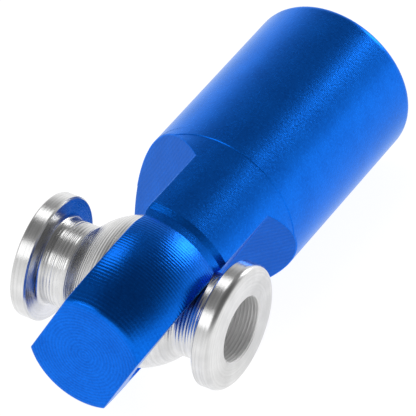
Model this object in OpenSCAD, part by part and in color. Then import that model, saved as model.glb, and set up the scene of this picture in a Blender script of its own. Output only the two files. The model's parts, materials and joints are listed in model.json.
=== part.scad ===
// Swivelling ball link end: a turned and milled shank with an eye, and a
// hollow flanged pivot ball held in the eye between two seat rings.
// The part lies on its round shank, rolled over until one flange of the ball
// touches the ground too. That flange is on the resting side of the ball, and
// the other one on the raised side. X runs along the shank, away from the eye,
// and Z is up. The origin is the centre of the ball.

/* [Shank] */
// Diameter of the round bar that the shank and the eye are turned from
bar_d = 8; // [7.9:0.05:9]
// Distance from the centre of the ball to the end face of the shank
shank_reach = 16.9; // [15:0.1:40]
// Chamfer around the end face of the shank
end_chamfer = 0.2; // [0.1:0.05:0.5]
// Height of the fine step where the second turning pass ended
pass_step = 0.03; // [0.01:0.01:0.05]
// Distance from the centre of the ball to that step
pass_step_x = 6.25; // [6:0.05:7]

/* [Tapped hole] */
// Outer diameter of the thread
thread_d = 4; // [3:0.1:5]
// Depth of the full thread
thread_depth = 10; // [6:0.5:10.5]
// Diameter of the drill that leaves the cone at the bottom of the hole
tap_drill_d = 3.3; // [2.5:0.1:4.2]
// Countersink at the mouth of the hole, larger than the hole on the radius
thread_countersink = 0.35; // [0.1:0.05:0.6]

/* [Eye] */
// Thickness of the eye between its two milled flats
eye_thickness = 4.1; // [4:0.05:4.2]
// Distance from the centre of the ball to the flat tip of the eye
tip_reach = 4.8; // [4.6:0.05:6]
// Radius of the crowned outline of the eye, along the shank
crown_r = 6.7; // [6.5:0.05:9]
// Distance from the centre of the ball to the top of the crown, towards the tip
crown_shift = 1; // [0.8:0.05:1.2]
// Distance from the centre of the ball to where the milled flats end
flat_end_x = 5; // [4.9:0.05:6]
// Angle between the ramps that end the flats and the shank
ramp_angle = 47; // [40:1:60]
// Distance from the centre of the ball to the valley where the crown ends
valley_x = 0.62; // [0.5:0.01:0.65]
// Distance from the centre of the ball to where the valley's floor ends
valley_floor_x = 1.1; // [0.8:0.01:1.15]
// Distance from the centre of the ball to where the valley meets the shank
valley_end_x = 1.34; // [1.2:0.01:1.6]
// Difference in radius between the bore of the eye and the ball
bore_gap = 0.06; // [0.05:0.01:0.08]
// Width of the lips rolled over to hold the seat rings
lip_w = 0.18; // [0.1:0.01:0.2]
// Height of those lips above the bore
lip_h = 0.14; // [0.1:0.01:0.15]

/* [Pivot ball] */
// Diameter of the ball
ball_d = 6.6; // [6.5:0.01:6.6]
// Diameter of the necks between the ball and its flanges
neck_d = 3.9; // [3.8:0.05:4]
// Diameter of the flanges
flange_d = 5.72; // [5.6:0.01:6]
// Thickness of the flange on the resting side
resting_flange_w = 0.9; // [0.5:0.01:0.95]
// Thickness of the flange on the raised side
raised_flange_w = 0.76; // [0.5:0.01:0.8]
// Distance from the centre of the ball to the outer face of the resting side
resting_reach = 4.97; // [4.95:0.01:7]
// Distance from the centre of the ball to the outer face of the raised side
raised_reach = 4.93; // [4.8:0.01:7]
// Diameter of the hole for the screw
bolt_hole_d = 3; // [2:0.05:3.1]
// Radius on the outer edge of the flange on the resting side
flange_round = 0.34; // [0.1:0.01:0.4]
// Chamfer on the other edges of the flanges and on the mouths of the hole
edge_chamfer = 0.07; // [0.03:0.01:0.1]
// Radius between the neck and the ball on the raised side
neck_fillet = 0.6; // [0.2:0.05:0.7]
// Radius between the neck and the ball on the resting side
crease_fillet = 0.15; // [0.1:0.05:0.3]
// Radius between the necks and the flanges
flange_fillet = 0.2; // [0.1:0.05:0.25]

/* [Seat rings] */
// Distance from the middle plane of the eye to the inner edge of a ring
ring_inner_y = 0.75; // [0.7:0.01:0.9]
// Distance from the middle plane of the eye to the outer edge of a ring
ring_outer_y = 1.3; // [1.25:0.01:1.3]
// Gap between the ball and the rings, on the radius
ball_gap = 0.02; // [0.01:0.01:0.02]
// Gap between the rings and the bore of the eye, on the radius and at the lips
ring_gap = 0.02; // [0.01:0.01:0.02]

/* [Pose] */
// Largest tilt of the ball out of the middle of the eye, where it is stored
swivel_max = 27.8; // [10:0.2:27.8]
// Gap that the neck keeps to the mouth of the eye at that tilt
neck_gap = 0.04; // [0.03:0.01:0.06]

/* [Hidden] */
$fn = 96;

anodised_blue = [0.06, 0.33, 0.85];
bright_metal = [0.82, 0.83, 0.84];
bearing_bronze = [0.72, 0.56, 0.33];

bar_r = bar_d / 2;
eye_half = eye_thickness / 2;
ball_r = ball_d / 2;
neck_r = neck_d / 2;
flange_r = flange_d / 2;
thread_r = thread_d / 2;
tap_drill_r = tap_drill_d / 2;
bolt_hole_r = bolt_hole_d / 2;
drill_point = 118;

// The bore of the eye runs just clear of the ball. A rolled lip on each side
// keeps the rings in, and beyond it the mouth opens to let the neck swing.
bore_r = ball_r + bore_gap;
lip_start_y = ring_outer_y + ring_gap;
lip_end_y = lip_start_y + lip_w;
lip_r = bore_r - lip_h;
mouth_r = (neck_r + eye_half * sin(swivel_max)) / cos(swivel_max) + neck_gap;
seat_r = ball_r + ball_gap;
ring_r = bore_r - ring_gap;

// How far the part rolls, about X, before the resting side's flange touches
// the ground that the shank lies on. The flange's rounded edge touches first.
edge_r = flange_r - flange_round;
edge_y = resting_reach - flange_round;
rest_roll = atan2(edge_y, edge_r) - acos((bar_r - flange_round) / norm([edge_r, edge_y]));

// Cuts run this far past the surface that they leave.
past = 1;
wide = 3 * bar_d;

// The circle that crowns the eye, seen in the plane of the shank's axis, and
// its radius where it meets the valley.
turned_r = bar_r - pass_step;
crown_centre_r = turned_r - crown_r;
valley_r = crown_centre_r + sqrt(pow(crown_r, 2) - pow(valley_x + crown_shift, 2));

// Half outline of the turned blank: radius along X, distance along the shank
// on Y.
module blank_outline() {
    difference() {
        translate([0, -tip_reach])
            square([turned_r, tip_reach + pass_step_x]);
        crown_waste();
        polygon([
            [valley_r, valley_x],
            [valley_r, valley_floor_x],
            [turned_r, valley_end_x],
            [turned_r + past, valley_end_x],
            [turned_r + past, valley_x]
        ]);
    }
    polygon([
        [0, pass_step_x],
        [turned_r, pass_step_x],
        [bar_r, pass_step_x + pass_step],
        [bar_r, shank_reach - end_chamfer],
        [bar_r - end_chamfer, shank_reach],
        [0, shank_reach]
    ]);
}

// What turning takes off outside the crown, from the tip to the valley.
module crown_waste() {
    difference() {
        translate([0, -tip_reach - past])
            square([bar_r + past, tip_reach + past + valley_x]);
        translate([crown_centre_r, -crown_shift])
            circle(r = crown_r, $fn = 360);
    }
}

// Material beyond one flat and its ramp, for the side of +Y.
module flat_waste() {
    ramp_run = (wide - eye_half) / tan(ramp_angle);
    translate([0, 0, -wide / 2])
        linear_extrude(wide)
            polygon([
                [-tip_reach - past, eye_half],
                [flat_end_x, eye_half],
                [flat_end_x + ramp_run, wide],
                [-tip_reach - past, wide]
            ]);
}

// The stepped hole across the eye, from its middle plane to one flat.
module eye_bore_outline() {
    polygon([
        [0, -past / 2],
        [bore_r, -past / 2],
        [bore_r, lip_start_y],
        [lip_r, lip_start_y],
        [lip_r, lip_end_y],
        [mouth_r, eye_half],
        [mouth_r + past, eye_half + past],
        [0, eye_half + past]
    ]);
}

module eye_bore() {
    rotate([-90, 0, 0])
        rotate_extrude()
            eye_bore_outline();
    rotate([90, 0, 0])
        rotate_extrude()
            eye_bore_outline();
}

module tapped_hole() {
    point_depth = tap_drill_r / tan(drill_point / 2);
    hole_bottom = shank_reach - thread_depth;
    translate([hole_bottom, 0, 0])
        rotate([0, 90, 0])
            cylinder(r = thread_r, h = thread_depth + past);
    translate([hole_bottom - point_depth, 0, 0])
        rotate([0, 90, 0])
            cylinder(r1 = 0, r2 = tap_drill_r, h = point_depth);
    translate([shank_reach - thread_countersink, 0, 0])
        rotate([0, 90, 0])
            cylinder(
                r1 = thread_r,
                r2 = thread_r + thread_countersink + past,
                h = thread_countersink + past
            );
}

module rod_end_body() {
    color(anodised_blue)
        rotate([rest_roll + swivel_max, 0, 0])
            difference() {
                rotate([0, 90, 0])
                    rotate_extrude($fn = 180)
                        blank_outline();
                flat_waste();
                mirror([0, 1, 0])
                    flat_waste();
                eye_bore();
                tapped_hole();
            }
}

// A ring with a round seat for the ball, on the side of +Y of the eye.
module seat_ring() {
    rotate([-90, 0, 0])
        rotate_extrude()
            difference() {
                translate([bolt_hole_r, ring_inner_y])
                    square([ring_r - bolt_hole_r, ring_outer_y - ring_inner_y]);
                circle(r = seat_r, $fn = 360);
            }
}

module seat_ring_left() {
    color(bearing_bronze)
        rotate([rest_roll + swivel_max, 0, 0])
            seat_ring();
}

module seat_ring_right() {
    color(bearing_bronze)
        rotate([rest_roll + swivel_max, 0, 0])
            mirror([0, 1, 0])
                seat_ring();
}

// A square corner filled with a round of radius r. The corner is at the
// origin, and the filled part reaches towards +X and +Y.
module corner_fill(r) {
    difference() {
        square(r);
        translate([r, r])
            circle(r = r);
    }
}

// The web between the neck and the ball, as a sector that the fillet's own
// circle cuts hollow. The circle bites a little into the ball, so that the two
// outlines cross and don't only touch.
module neck_web(r) {
    ball_bite = 0.003;
    centre_x = neck_r + r;
    centre_y = sqrt(pow(ball_r + r - ball_bite, 2) - pow(centre_x, 2));
    difference() {
        polygon([
            [0, 0],
            [centre_x, centre_y],
            [neck_r, centre_y],
            [0, centre_y]
        ]);
        translate([centre_x, centre_y])
            circle(r = r);
    }
}

// One side of the ball: its neck and its flange, up to the flange's outer
// face. Radius along X, distance along the bore on Y.
module side_outline(reach, flange_w, web_r, outer_round) {
    flange_y = reach - flange_w;
    round_centre = [flange_r - outer_round, reach - outer_round];
    neck_web(web_r);
    square([neck_r, reach]);
    polygon([
        [0, flange_y],
        [flange_r - edge_chamfer, flange_y],
        [flange_r, flange_y + edge_chamfer],
        [flange_r, reach - outer_round],
        round_centre,
        [flange_r - outer_round, reach],
        [0, reach]
    ]);
    intersection() {
        translate(round_centre)
            circle(r = outer_round);
        translate(round_centre)
            square(outer_round);
    }
    translate([neck_r, flange_y])
        mirror([0, 1])
            corner_fill(flange_fillet);
}

// What the chamfer takes off at the mouth of the hole.
module hole_mouth(reach) {
    polygon([
        [0, reach - edge_chamfer],
        [bolt_hole_r, reach - edge_chamfer],
        [bolt_hole_r + edge_chamfer + past, reach + past],
        [0, reach + past]
    ]);
}

module ball_outline() {
    hole_span = 2 * max(resting_reach, raised_reach) + 2 * past;
    difference() {
        union() {
            circle(r = ball_r, $fn = 360);
            side_outline(resting_reach, resting_flange_w, crease_fillet, flange_round);
            mirror([0, 1])
                side_outline(raised_reach, raised_flange_w, neck_fillet, edge_chamfer);
        }
        translate([-ball_r - past, -hole_span / 2])
            square([ball_r + past + bolt_hole_r, hole_span]);
        hole_mouth(resting_reach);
        mirror([0, 1])
            hole_mouth(raised_reach);
    }
}

module pivot_ball() {
    color(bright_metal)
        rotate([90 + rest_roll, 0, 0])
            rotate_extrude($fn = 180)
                ball_outline();
}

rod_end_body();
seat_ring_left();
seat_ring_right();
pivot_ball();
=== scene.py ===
import json
import math

import bmesh
import bpy
import numpy as np
from mathutils import Matrix, Vector


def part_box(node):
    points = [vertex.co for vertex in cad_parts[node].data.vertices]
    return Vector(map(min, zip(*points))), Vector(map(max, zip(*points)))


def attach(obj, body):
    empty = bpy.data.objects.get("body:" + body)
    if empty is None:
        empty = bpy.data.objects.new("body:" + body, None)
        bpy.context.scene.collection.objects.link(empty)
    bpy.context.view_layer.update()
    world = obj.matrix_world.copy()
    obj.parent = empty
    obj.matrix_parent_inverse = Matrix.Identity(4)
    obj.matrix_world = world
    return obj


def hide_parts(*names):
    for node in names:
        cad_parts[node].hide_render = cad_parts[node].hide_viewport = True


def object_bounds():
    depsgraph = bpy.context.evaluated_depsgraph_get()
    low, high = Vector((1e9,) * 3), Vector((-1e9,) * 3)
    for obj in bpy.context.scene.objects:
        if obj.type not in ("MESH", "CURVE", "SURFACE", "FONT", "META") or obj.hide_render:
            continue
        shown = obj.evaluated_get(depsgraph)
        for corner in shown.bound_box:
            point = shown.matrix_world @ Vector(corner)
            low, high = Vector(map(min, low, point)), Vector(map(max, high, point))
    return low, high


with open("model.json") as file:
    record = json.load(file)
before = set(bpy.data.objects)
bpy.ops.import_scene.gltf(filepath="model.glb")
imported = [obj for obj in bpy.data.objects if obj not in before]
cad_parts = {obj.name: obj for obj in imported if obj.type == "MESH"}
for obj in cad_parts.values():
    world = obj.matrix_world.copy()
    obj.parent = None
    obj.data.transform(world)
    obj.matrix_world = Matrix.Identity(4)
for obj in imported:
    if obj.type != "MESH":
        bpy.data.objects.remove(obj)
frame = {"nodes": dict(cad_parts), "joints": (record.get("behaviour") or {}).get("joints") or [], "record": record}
cad_low, cad_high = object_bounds()

MM = 0.001

# The frame's own facts: its mounts, its joints and the box of the body.
mounts = {mount["name"]: mount for mount in frame["record"]["mounts"]}
joints = {joint["name"]: joint for joint in frame["joints"]}
bore_axis = mounts["pivot_bore"]["axis"]
eye_axis = joints["ring_turn"]["axis"]
body_low, body_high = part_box("rod_end_body")

# The part lies rolled about X. The level bench is the frame rolled back, so that
# the ball's hole is level on it, and the eye leans from there by the swivel.
bench_roll = math.atan2(bore_axis[2], bore_axis[1])
eye_roll = math.atan2(eye_axis[2], eye_axis[1])
swivel = eye_roll - bench_roll

# Sizes are in millimetres from here on, and turn into metres in the mesh makers.
# Rings of points and the edges of masks stay about a hair, or a few, from an edge.
hair = 0.01

# The body, from its tip to the end of its shank.
tip_x = body_low.x / MM
end_x = body_high.x / MM
bar_r = body_high.y / MM
pass_step = 0.03
pass_step_x = 6.25
turned_r = bar_r - pass_step
crown_r = 6.7
crown_top_x = -1.0
valley_x = 0.62
valley_flat_x = 1.1
valley_end_x = 1.34
eye_half = 2.05
flat_end_x = 5.0
ramp_slope = math.tan(math.radians(47))
ramp_end_x = flat_end_x + (bar_r - eye_half) / ramp_slope
end_bevel = 0.2
corner = 0.06
tip_rim = 0.17
tip_rim_run = 0.11

# The tapped hole in the shank.
thread_r = mounts["shank_thread"]["dims"]["r_mm"]
thread_pitch = 0.7
thread_crest_r = 1.66
thread_start_x = 6.9
drill_r = 1.65
drill_tip_x = 5.91
countersink = 0.35

# The pivot ball. Its near side has the rounded flange.
bolt_hole_r = mounts["pivot_bore"]["dims"]["r_mm"]
ball_r = 3.3
neck_r = 1.95
flange_r = 2.86
flange_fillet = 0.2
edge_chamfer = 0.07
near_reach = 4.97
near_flange_w = 0.9
near_fillet = 0.15
near_rim = 0.34
far_reach = 4.93
far_flange_w = 0.76
far_fillet = 0.6

# The hole across the eye: its bore, its two lips and its open mouths.
eye_bore_r = 3.36
lip_r = 3.22
lip_span = (1.32, 1.5)
neck_gap = 0.04
mouth_r = (neck_r + eye_half * math.sin(swivel)) / math.cos(swivel) + neck_gap


# ---------------------------------------------------------------- camera, floor, light

def rolled(vector, angle=bench_roll):
    """A direction or place of the level bench, or of another level frame, rolled about X."""
    return Matrix.Rotation(angle, 3, "X") @ Vector(vector)


def sight(azimuth, elevation):
    """Unit vector from the part towards a viewer at that azimuth and elevation, in degrees."""
    a, e = math.radians(azimuth), math.radians(elevation)
    return Vector((math.sin(a) * math.cos(e), -math.cos(a) * math.cos(e), math.sin(e)))


def look_from(back):
    """Rotation that looks against back, upright on the level bench, then rolled with the part."""
    upright = (-back).to_track_quat("-Z", "Y").to_matrix()
    return (Matrix.Rotation(bench_roll, 3, "X") @ upright).to_4x4()


def make_camera():
    """A long lens, aimed at a place between the ball and the shank on the level bench."""
    aim = Vector((3.42, -1.30, 2.74))
    distance = 207.65
    back = sight(-59.80, 40.18)
    data = bpy.data.cameras.new("camera")
    data.lens = 417.5
    data.sensor_width = 36
    data.clip_start = 0.01
    data.clip_end = 10
    camera = bpy.data.objects.new("camera", data)
    bpy.context.scene.collection.objects.link(camera)
    place = Matrix.Translation(rolled(aim + back * distance) * MM)
    camera.matrix_world = place @ look_from(back)
    bpy.context.scene.camera = camera


def softbox(name, towards, size, radiance, distance=0.35):
    """A square lamp that shines on the part from a direction of the level bench.

    Size and distance are in metres. Radiance is how bright its face looks.
    """
    data = bpy.data.lights.new(name, "AREA")
    data.shape = "SQUARE"
    data.size = size
    data.energy = radiance * math.pi * size ** 2
    lamp = bpy.data.objects.new(name, data)
    bpy.context.scene.collection.objects.link(lamp)
    direction = rolled(towards).normalized()
    turn = (-direction).to_track_quat("-Z", "Y").to_matrix().to_4x4()
    lamp.matrix_world = Matrix.Translation(direction * distance) @ turn


# ---------------------------------------------------------------- shader expressions

class Wire:
    """A socket of a node tree. Arithmetic on it adds Math nodes."""

    def __init__(self, tree, socket=None):
        self.tree = tree
        self.socket = socket

    def node(self, kind, settings=None, inputs=None, output=0):
        """Adds a node: its settings first, then its inputs as numbers or wires."""
        made = self.tree.nodes.new(kind)
        for name, value in (settings or {}).items():
            setattr(made, name, value)
        for key, value in (inputs or {}).items():
            if isinstance(value, Wire):
                self.tree.links.new(value.socket, made.inputs[key])
            else:
                made.inputs[key].default_value = value
        return Wire(self.tree, made.outputs[output])

    def finish(self, kind):
        """Joins this shader to the output of its tree."""
        out = self.tree.nodes.new(kind)
        self.tree.links.new(self.socket, out.inputs["Surface"])

    def math(self, operation, *values):
        return self.node("ShaderNodeMath", {"operation": operation}, dict(enumerate(values)))

    def __add__(self, other):
        return self.math("ADD", self, other)

    def __radd__(self, other):
        return self.math("ADD", other, self)

    def __sub__(self, other):
        return self.math("SUBTRACT", self, other)

    def __rsub__(self, other):
        return self.math("SUBTRACT", other, self)

    def __mul__(self, other):
        return self.math("MULTIPLY", self, other)

    def __rmul__(self, other):
        return self.math("MULTIPLY", other, self)

    def __abs__(self):
        return self.math("ABSOLUTE", self)

    def sin(self):
        return self.math("SINE", self)

    def ramp(self, low, high):
        """0 below low, 1 above high, smooth in between. Falls if low is above high."""
        values = {"Value": self, "From Min": low, "From Max": high}
        return self.node("ShaderNodeMapRange", {"interpolation_type": "SMOOTHSTEP"}, values)

    def noise(self, scale, detail=2.0):
        values = {"Vector": self, "Scale": scale, "Detail": detail}
        return self.node("ShaderNodeTexNoise", None, values)

    def stretched(self, factors):
        """This vector, times a factor for each axis."""
        return self.node("ShaderNodeVectorMath", {"operation": "MULTIPLY"}, {0: self, 1: factors})

    def length(self):
        return self.node("ShaderNodeVectorMath", {"operation": "LENGTH"}, {0: self}, "Value")

    def along(self, way):
        """How far this vector goes along a unit vector."""
        return self.node("ShaderNodeVectorMath", {"operation": "DOT_PRODUCT"}, {0: self, 1: way}, "Value")

    def levelled(self, roll):
        """This vector, rolled back about X."""
        settings = {"rotation_type": "X_AXIS"}
        return self.node("ShaderNodeVectorRotate", settings, {"Vector": self, "Angle": -roll})

    def axis(self, name):
        return self.node("ShaderNodeSeparateXYZ", None, {0: self}, name)

    def mix(self, low, high):
        """A colour that goes from low to high as this wire goes from 0 to 1."""
        low_input, high_input, colour_output = 6, 7, 2
        mixed = {0: self, low_input: low, high_input: high}
        return self.node("ShaderNodeMix", {"data_type": "RGBA"}, mixed, colour_output)


def ripples(distance, pitch, wobble=0.0):
    """A ripple between 0 and 1 that repeats along a distance."""
    return ((distance + wobble) * (2 * math.pi / pitch)).sin() * 0.5 + 0.5


def new_material(name, roll):
    """A material without nodes, and the place in the piece's level frame, in millimetres."""
    material = bpy.data.materials.new(name)
    material.use_nodes = True
    tree = material.node_tree
    tree.nodes.clear()
    start = Wire(tree)
    place = start.node("ShaderNodeTexCoord", None, None, "Object").stretched((1 / MM, 1 / MM, 1 / MM))
    return material, place.levelled(roll)


def close_material(place, height, colour, roughness, glance=(1, 1, 1, 1), coat=0.0, coat_roughness=0.1):
    """Joins the patterns to a metal's shader.

    Height is in millimetres. Glance tints what the metal mirrors at a low angle.
    """
    bump = place.node("ShaderNodeBump", None, {"Height": height, "Strength": 1.0, "Distance": MM})
    values = {
        "Base Color": colour,
        "Roughness": roughness,
        "Metallic": 1.0,
        "Specular Tint": glance,
        "Coat Weight": coat,
        "Coat Roughness": coat_roughness,
        "Normal": bump,
    }
    surface = place.node("ShaderNodeBsdfPrincipled", None, values)
    surface.finish("ShaderNodeOutputMaterial")


def anodised_blue():
    """Clear blue anodising over turned rings, milled hatching and a fine grain."""
    material, place = new_material("anodised_blue", eye_roll)
    along = place.axis("X")
    across = abs(place.axis("Y"))
    upright = place.axis("Z")
    radius = place.stretched((0, 1, 1)).length()

    # Where each kind of surface is, from 0 to 1.
    on_tip = along.ramp(tip_x + 3 * hair, tip_x + hair)
    past_flat = along.ramp(flat_end_x, flat_end_x + 5 * hair)
    on_flat = across.ramp(eye_half - 2 * hair, eye_half - hair / 2) * (1 - past_flat)
    under_skin = radius.ramp(turned_r - hair, turned_r - 3 * hair)
    on_ramp = past_flat * under_skin * across.ramp(eye_half - 3 * hair, eye_half)
    on_crown = along.ramp(valley_x + hair, valley_x - 2 * hair) * (1 - on_tip) * (1 - on_flat)
    on_bar = (1 - on_crown) * (1 - on_ramp) * (1 - on_flat) * (1 - on_tip)

    # The tool's marks on each, with their pitch in millimetres, and the grain of the finish.
    grain = place.noise(9.0, 3.0)
    speck = place.noise(22.0, 1.0)
    cloud = place.noise(0.7, 2.0)
    wobble = place.noise(1.6, 1.0) * 0.05
    rings = ripples(along, 0.15, wobble) * on_crown
    facing = ripples(radius, 0.16, wobble) * on_tip
    hatch = ripples(upright, 0.11, wobble) * on_ramp
    milled = ripples(upright * 0.94 + along * 0.34, 0.13, wobble) * on_flat
    drawn = ripples(along, 0.09, wobble) * on_bar
    height = rings * 0.0042 + facing * 0.0042 + hatch * 0.0048 + milled * 0.0036 + drawn * 0.0005
    height = height + grain * 0.0036 + speck * 0.0008

    # The blue is a little darker in the marks, and on the ramps.
    marks = facing * 0.16 + hatch * 0.2 + milled * 0.12 + rings * 0.08 + on_ramp * 0.25
    tone = (grain * 0.6 + cloud * 0.45 - 0.1 + speck * 0.25 - marks).ramp(0.0, 0.85)
    colour = tone.mix((0.001, 0.085, 0.50, 1), (0.004, 0.170, 0.86, 1))
    roughness = 0.22 + grain * 0.08 + on_ramp * 0.08 + on_tip * 0.08
    blue_glance = (0.75, 0.93, 1.0, 1)
    close_material(place, height, colour, roughness, blue_glance, coat=0.02, coat_roughness=0.2)
    return material


def turned_steel():
    """Bright metal straight off the lathe, with fine tool marks that follow the bore's axis."""
    material, place = new_material("turned_steel", bench_roll)
    along = place.axis("Y")
    radius = place.stretched((1, 0, 1)).length()
    in_bore = radius.ramp(bolt_hole_r + 6 * hair, bolt_hole_r + 2 * hair)

    # Streaks run round the ball: they change fast along its axis and out from it.
    round_streak = place.stretched((0.25, 9, 0.25)).noise(1.0, 3.0)
    face_streak = place.node("ShaderNodeCombineXYZ", None, {0: radius * 9}).noise(1.0, 3.0)
    streak = round_streak * 0.6 + face_streak * 0.4
    patch = place.noise(0.9, 2.0)
    fine = ripples(along, 0.047) * 0.5 + ripples(radius, 0.053) * 0.5
    bored = ripples(along, 0.17, patch * 0.06) * in_bore
    height = fine * 0.0006 + streak * 0.0022 + place.noise(14.0, 2.0) * 0.0008 + bored * 0.008
    # Inside the hole the steel is painted lighter, a painted light where the bore gets little real light; the
    # bored rings are a little darker.
    tone = (streak * 0.7 + patch * 0.4 + in_bore * 0.5 - bored * 0.45).ramp(0.3, 0.85)
    colour = tone.mix((0.56, 0.56, 0.56, 1), (0.88, 0.88, 0.88, 1))
    roughness = 0.16 + streak * 0.12 + patch * 0.06 + in_bore * 0.36
    close_material(place, height, colour, roughness)
    return material


def bearing_bronze():
    """Plain bronze, turned, a little darkened."""
    material, place = new_material("bearing_bronze", eye_roll)
    patch = place.noise(2.0, 3.0)
    height = ripples(place.axis("Y"), 0.06) * 0.002 + place.noise(12.0, 2.0) * 0.001
    colour = patch.ramp(0.3, 0.7).mix((0.36, 0.22, 0.09, 1), (0.60, 0.40, 0.19, 1))
    close_material(place, height, colour, 0.3 + patch * 0.12)
    return material


def make_floor():
    """A pale floor that glows, so that it stays even around the part."""
    mesh = bpy.data.meshes.new("floor")
    half = 1.5
    z = cad_low.z
    corners = [(-half, -half, z), (half, -half, z), (half, half, z), (-half, half, z)]
    mesh.from_pydata(corners, [], [(0, 1, 2, 3)])
    floor = bpy.data.objects.new("floor", mesh)
    bpy.context.scene.collection.objects.link(floor)
    material = bpy.data.materials.new("pale_floor")
    material.use_nodes = True
    shader = material.node_tree.nodes["Principled BSDF"]
    shader.inputs["Base Color"].default_value = (0.2, 0.2, 0.2, 1)
    shader.inputs["Roughness"].default_value = 0.9
    shader.inputs["Emission Color"].default_value = (1, 1, 1, 1)
    shader.inputs["Emission Strength"].default_value = 0.94
    mesh.materials.append(material)


def make_world():
    """Pale at the horizon, dimmer overhead, and darkest above the viewer."""
    world = bpy.data.worlds.new("studio")
    bpy.context.scene.world = world
    world.use_nodes = True
    tree = world.node_tree
    tree.nodes.clear()
    way = Wire(tree).node("ShaderNodeTexCoord", None, None, "Generated").levelled(bench_roll)
    overhead = way.axis("Z").ramp(0.05, 0.7)
    above_viewer = way.along(Vector((-0.1, -0.45, 0.88)).normalized()).ramp(0.6, 0.97)
    level = (1.0 - overhead * 0.76) * (1.0 - above_viewer * 0.5)
    background = way.node("ShaderNodeBackground", None, {"Color": (1, 1, 1, 1), "Strength": level})
    background.finish("ShaderNodeOutputWorld")


# ---------------------------------------------------------------- mesh makers

def solid_from_rings(name, rings, roll, poles=None, loop=False):
    """A mesh through rings of points, in millimetres of a level frame, rolled about X.

    Poles are two points that close the ends. With loop, the last ring joins the first.
    """
    count = len(rings[0])
    points = [point for ring in rings for point in ring]
    faces = []
    pairs = [(i, i + 1) for i in range(len(rings) - 1)]
    if loop:
        pairs.append((len(rings) - 1, 0))
    for a, b in pairs:
        for j in range(count):
            k = (j + 1) % count
            faces.append((a * count + j, a * count + k, b * count + k, b * count + j))
    if poles:
        first = len(points)
        last_ring = (len(rings) - 1) * count
        points.extend(poles)
        for j in range(count):
            k = (j + 1) % count
            faces.append((first, k, j))
            faces.append((first + 1, last_ring + j, last_ring + k))
    mesh = bpy.data.meshes.new(name)
    mesh.from_pydata([tuple(rolled(point, roll) * MM) for point in points], [], faces)
    fixer = bmesh.new()
    fixer.from_mesh(mesh)
    bmesh.ops.recalc_face_normals(fixer, faces=fixer.faces)
    fixer.to_mesh(mesh)
    fixer.free()
    piece = bpy.data.objects.new(name, mesh)
    bpy.context.scene.collection.objects.link(piece)
    return piece


def smooth(piece, angle=32):
    """Shades a piece smooth, but for edges that turn by more than an angle in degrees."""
    piece.data.shade_smooth()
    piece.data.set_sharp_from_angle(angle=math.radians(angle))


def bend(start, knee, end, steps):
    """Points of a soft corner from start to end, pulled towards knee."""
    bent = []
    for i in range(steps + 1):
        t = i / steps
        bent.append(tuple(
            (1 - t) ** 2 * a + 2 * t * (1 - t) * b + t ** 2 * c
            for a, b, c in zip(start, knee, end)))
    return bent


def spread(low, high, steps):
    """Evenly spaced values from low to high, with both ends."""
    return [low + (high - low) * i / steps for i in range(steps + 1)]


# ---------------------------------------------------------------- the rod end's body

ARC_STEPS = 48
FLAT_STEPS = 14
CORNER_STEPS = 5
WIDEST_ARC = math.radians(86)


def crown_radius(x):
    """Radius of the crowned eye at a place along it."""
    return turned_r - crown_r + math.sqrt(crown_r ** 2 - (x - crown_top_x) ** 2)


def blank_radius(x):
    """Radius of the turned blank at a place along it."""
    if x <= valley_x:
        return crown_radius(x)
    if x < valley_end_x:
        share = max(0.0, x - valley_flat_x) / (valley_end_x - valley_flat_x)
        return crown_radius(valley_x) + share * (turned_r - crown_radius(valley_x))
    return turned_r if x <= pass_step_x else bar_r


def half_width(x):
    """Distance from the middle plane to the milled flat or to its ramp."""
    return eye_half + max(0.0, x - flat_end_x) * ramp_slope


def quarter_outline(radius, half):
    """One quarter of a cross-section, as (y, z), from the top to the side, corner eased."""
    arc = min(math.asin(min(1.0, half / radius)), WIDEST_ARC)
    if arc == WIDEST_ARC:
        around = spread(0, WIDEST_ARC, ARC_STEPS // 2)
        around += spread(WIDEST_ARC, math.pi / 2, CORNER_STEPS + FLAT_STEPS // 2)[1:]
        return [(radius * math.sin(a), radius * math.cos(a)) for a in around]
    eased = corner / radius
    points = [(radius * math.sin(a), radius * math.cos(a)) for a in spread(0, arc - eased, ARC_STEPS // 2)]
    high = radius * math.cos(arc)
    points += bend(points[-1], (half, high), (half, high - min(corner, high / 2)), CORNER_STEPS)[1:]
    low_start = points[-1][1]
    points += [(half, z) for z in spread(low_start, 0, FLAT_STEPS // 2)[1:]]
    return points


def cross_section(x, radius, half, scale=1.0):
    """A whole ring of the body at x, from one quarter and its mirror images."""
    quarter = [(y * scale, z * scale) for y, z in quarter_outline(radius, half)]
    right = quarter + [(y, -z) for y, z in reversed(quarter[:-1])]
    left = [(-y, z) for y, z in reversed(right[1:-1])]
    return [(x, y, z) for y, z in right + left]


def body_stations():
    """Places of the rings along the body. Where an edge runs round, two are close together."""
    stations = spread(tip_x + 20 * hair, valley_x - 3 * hair, 64)
    stations += [valley_x - hair, valley_x + hair]
    stations += spread(valley_x + 4 * hair, valley_flat_x, 6)
    stations += spread(valley_flat_x + 3 * hair, valley_end_x - 2 * hair, 4)
    stations += [valley_end_x, valley_end_x + 3 * hair]
    stations += spread(valley_end_x + 30 * hair, flat_end_x - 4 * hair, 10)
    stations += [flat_end_x]
    stations += spread(flat_end_x + 3 * hair, pass_step_x, 18)
    stations += [pass_step_x + pass_step]
    stations += spread(pass_step_x + 6 * hair, ramp_end_x - 0.8 * hair, 12)
    stations += [ramp_end_x + 0.4 * hair]
    stations += spread(ramp_end_x + 26 * hair, end_x - 2 * end_bevel, 24)
    return stations


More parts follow.
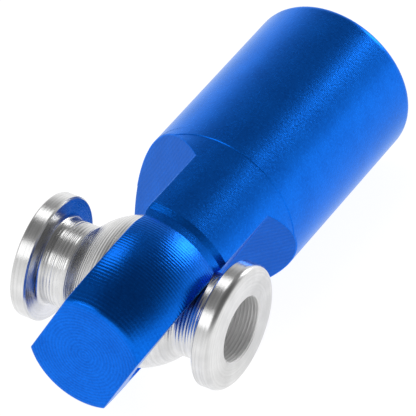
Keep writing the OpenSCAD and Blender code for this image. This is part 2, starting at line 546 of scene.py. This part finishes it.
def body_rings():
    """Every ring of the body, from the tip to the bottom of the tapped hole."""
    rings = []
    tip_r = crown_radius(tip_x)
    for share in (0.1, 0.25, 0.4, 0.55, 0.7, 0.82):
        rings.append(cross_section(tip_x, tip_r, eye_half, share))
    rim = bend((tip_x, tip_rim), (tip_x, 0.0), (tip_x + tip_rim_run, 0.0), 6)
    flat_share = 0.6
    for x, inset in rim:
        rings.append(cross_section(x, blank_radius(x) - inset, eye_half - inset * flat_share))
    for x in body_stations():
        rings.append(cross_section(x, blank_radius(x), half_width(x)))

    # Past the ramps nothing is milled off, so each ring is a whole circle.
    wide = 3 * bar_r
    edge = bend((end_x - 1.6 * end_bevel, bar_r), (end_x, bar_r), (end_x, bar_r - 1.3 * end_bevel), 7)
    face = [(end_x, r) for r in spread(bar_r - 2 * end_bevel, thread_r + countersink, 6)]
    wall = [(end_x - 2 * hair, thread_r + countersink - 4 * hair)]
    wall += [(x, thread_r) for x in spread(end_x - countersink, thread_start_x, 12)]
    cone = [(thread_start_x, drill_r), (0.5 * (thread_start_x + drill_tip_x), drill_r / 2)]
    for x, r in edge + face + wall + cone:
        rings.append(cross_section(x, r, wide))
    return rings


def eye_cutter():
    """What is cut out across the eye: its bore, the two lips and the open mouths."""
    lip_start, lip_end = lip_span
    past = 1
    side = [(eye_bore_r, 0.0), (eye_bore_r, lip_start), (lip_r, lip_start), (lip_r, lip_end)]
    side += [(mouth_r, eye_half), (mouth_r + past, eye_half + past)]
    outline = [(r, -y) for r, y in reversed(side[1:])] + side
    rings = [lathe_ring(r, y) for r, y in outline]
    poles = [(0, -eye_half - past, 0), (0, eye_half + past, 0)]
    return solid_from_rings("eye_cutter", rings, eye_roll, poles)


def lathe_ring(radius, y, steps=128):
    """A circle about Y."""
    turns = [2 * math.pi * i / steps for i in range(steps)]
    return [(radius * math.sin(a), y, radius * math.cos(a)) for a in turns]


def make_body(material):
    """The rod end's body as one mesh, with the hole across the eye cut out."""
    poles = [(tip_x, 0, 0), (drill_tip_x, 0, 0)]
    body = solid_from_rings("body", body_rings(), eye_roll, poles)
    cutter = eye_cutter()
    cut = body.modifiers.new("eye", "BOOLEAN")
    cut.operation = "DIFFERENCE"
    cut.solver = "EXACT"
    cut.object = cutter
    bpy.context.view_layer.update()
    shown = body.evaluated_get(bpy.context.evaluated_depsgraph_get())
    finished = bpy.data.meshes.new_from_object(shown)
    body.modifiers.clear()
    body.data = finished
    body.data.name = "body"
    bpy.data.objects.remove(cutter)
    smooth(body)
    body.data.materials.clear()
    body.data.materials.append(material)
    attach(body, "shank")
    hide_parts("rod_end_body")


def make_thread(material):
    """The screw thread in the shank, as one ridge that winds along the hole's wall."""
    steps = 48
    lead_in = 0.4
    run_out = 0.3
    half_root = 0.31
    half_crest = 0.05
    least_grown = 0.05
    turns = (end_x - countersink - thread_start_x - run_out) / thread_pitch - 1
    rings = []
    total = int(turns * steps)
    for i in range(total + 1):
        a = 2 * math.pi * i / steps
        x = thread_start_x + lead_in + thread_pitch * i / steps
        grown = min(1.0, i / steps, (total - i) / steps)
        top = thread_r - (thread_r - thread_crest_r) * max(grown, least_grown)
        root = thread_r + hair
        outline = [(-half_root, root), (-half_crest, top), (half_crest, top), (half_root, root)]
        rings.append([(x + dx, r * math.sin(a), r * math.cos(a)) for dx, r in outline])
    ends = [tuple(np.mean(rings[0], axis=0)), tuple(np.mean(rings[-1], axis=0))]
    thread = solid_from_rings("screw_thread", rings, eye_roll, ends)
    smooth(thread, 50)
    thread.data.materials.append(material)
    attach(thread, "shank")


# ---------------------------------------------------------------- the pivot ball

def arc(centre, radius, start, end, steps):
    """Points on a circle, as (r, y), between two angles in degrees from the r axis."""
    turns = [math.radians(a) for a in spread(start, end, steps)]
    return [(centre[0] + radius * math.cos(a), centre[1] + radius * math.sin(a)) for a in turns]


def neck_join(fillet):
    """Where the neck's fillet is centred, and the angle at which it leaves the ball."""
    r = neck_r + fillet
    y = math.sqrt((ball_r + fillet) ** 2 - r ** 2)
    return (r, y), math.degrees(math.atan2(y, r))


def side_path(reach, flange_w, fillet, rim):
    """One side of the ball as stretches of (points, groove depth), from equator to hole.

    Rim is the radius of the flange's outer edge.
    """
    centre, leave = neck_join(fillet)
    inner = reach - flange_w
    chamfer = edge_chamfer
    return [
        (arc((0, 0), ball_r, 0, leave, 60), 0.011),
        (arc(centre, fillet, leave + 180, 180, 8), 0.010),
        ([(neck_r, centre[1]), (neck_r, inner - flange_fillet)], 0.013),
        (arc((neck_r + flange_fillet, inner - flange_fillet), flange_fillet, 180, 90, 6), 0.003),
        ([(neck_r + flange_fillet, inner), (flange_r - chamfer, inner)], 0.003),
        ([(flange_r - chamfer, inner), (flange_r, inner + chamfer)], 0.0),
        ([(flange_r, inner + chamfer), (flange_r, reach - rim)], 0.003),
        (arc((flange_r - rim, reach - rim), rim, 0, 90, 8), 0.001),
        ([(flange_r - rim, reach), (bolt_hole_r + chamfer, reach)], 0.0025),
        ([(bolt_hole_r + chamfer, reach), (bolt_hole_r, reach - chamfer)], 0.0),
    ]


def grooved(points, depth, step, draw):
    """Points spaced step apart along a path, pressed in by the marks of the tool."""
    path = np.array(points, float)
    lengths = np.concatenate([[0], np.cumsum(np.hypot(*np.diff(path, axis=0).T))])
    count = max(2, int(round(lengths[-1] / step)))
    at = np.linspace(0, lengths[-1], count + 1)
    r = np.interp(at, lengths, path[:, 0])
    y = np.interp(at, lengths, path[:, 1])
    way_r, way_y = np.gradient(r), np.gradient(y)
    size = np.hypot(way_r, way_y)
    pitch = 0.15
    weakest = 0.35
    stray = 0.18
    fade_run = 0.05
    marks = int(lengths[-1] / pitch) + 2
    strength = draw.uniform(weakest, 1.0, marks)
    shift = np.cumsum(draw.uniform(-stray, stray, marks))
    phase = at / pitch + np.interp(at / pitch, np.arange(marks), shift)
    cut = np.sin(math.pi * phase) ** 2 * np.interp(at / pitch, np.arange(marks), strength)
    fade = np.minimum(1, np.minimum(at, lengths[-1] - at) / fade_run)
    press = depth * cut * fade
    return [(a - wy / s * p, b + wr / s * p)
            for a, b, wr, wy, s, p in zip(r, y, way_r, way_y, size, press)][:-1]


def make_ball(material):
    """The pivot ball with its necks, its flanges and its hole, as one closed turned mesh."""
    draw = np.random.default_rng(7)
    step = 0.026
    bore_step = 0.04

    # In the hole, a depth below zero makes fine raised rings in place of grooves.
    bore_groove = -0.010
    near = side_path(near_reach, near_flange_w, near_fillet, near_rim)
    far = side_path(far_reach, far_flange_w, far_fillet, edge_chamfer)
    outline = []
    for points, depth in reversed(near):
        back = [(r, -y) for r, y in reversed(points)]
        outline += grooved(back, depth, step, draw)
    for points, depth in far:
        outline += grooved(points, depth, step, draw)
    bore = [(bolt_hole_r, far_reach - edge_chamfer), (bolt_hole_r, edge_chamfer - near_reach)]
    outline += grooved(bore, bore_groove, bore_step, draw)
    rings = [lathe_ring(r, y, 160) for r, y in outline]
    ball = solid_from_rings("ball", rings, bench_roll, loop=True)
    smooth(ball, 40)
    ball.data.materials.append(material)
    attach(ball, "pivot")
    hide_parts("pivot_ball")


def paint_rings(material):
    """The seat rings keep their own shape and get their metal."""
    for name in ("seat_ring_left", "seat_ring_right"):
        node = frame["nodes"][name]
        node.data.materials.clear()
        node.data.materials.append(material)


# ---------------------------------------------------------------- the whole scene

make_camera()
make_world()
make_floor()
softbox("key_box", (0.88, -0.27, 0.40), 0.12, 4.2)
softbox("back_box", (0.36, 0.38, 0.85), 0.12, 1.8)
softbox("side_box", (-0.72, 0.36, 0.6), 0.16, 1.5)
bpy.context.scene.view_settings.view_transform = "Standard"
blue = anodised_blue()
make_body(blue)
make_thread(blue)
make_ball(turned_steel())
paint_rings(bearing_bronze())
